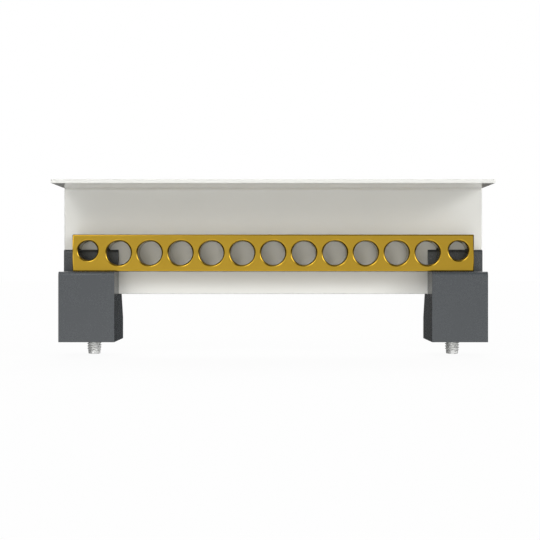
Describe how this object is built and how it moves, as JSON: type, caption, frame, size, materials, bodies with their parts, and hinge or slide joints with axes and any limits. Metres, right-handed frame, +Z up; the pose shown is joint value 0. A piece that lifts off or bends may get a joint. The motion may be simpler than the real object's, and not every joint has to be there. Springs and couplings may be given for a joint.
{
  "type": "earth terminal bar",
  "caption": "Drilled brass earth bar on moulded supports, with a white L-shaped cover profile standing behind it and reaching over it.",
  "frame": {"origin": "midway between the axes of the two mounting screws, on the plane of the supports' feet", "axes": "+X along the bar, +Y to the back of the bar, away from the wire entry, +Z up from the mounting plate"},
  "size_m": [0.138, 0.0393, 0.0562],
  "materials": {
    "bar_brass": "machined brass, satin, with bright cut edges",
    "cover_plastic": "extruded white plastic, glossy",
    "support_plastic": "moulded dark grey plastic, semi-matt",
    "screw_steel": "zinc-plated steel"
  },
  "bodies": {
    "root": {"terminal_bar": "bar_brass", "cover_profile": "cover_plastic", "support_left": "support_plastic", "support_right": "support_plastic", "mounting_screw_left": "screw_steel", "mounting_screw_right": "screw_steel", "bar_screw_left": "screw_steel", "bar_screw_right": "screw_steel"}
  },
  "joints": []
}
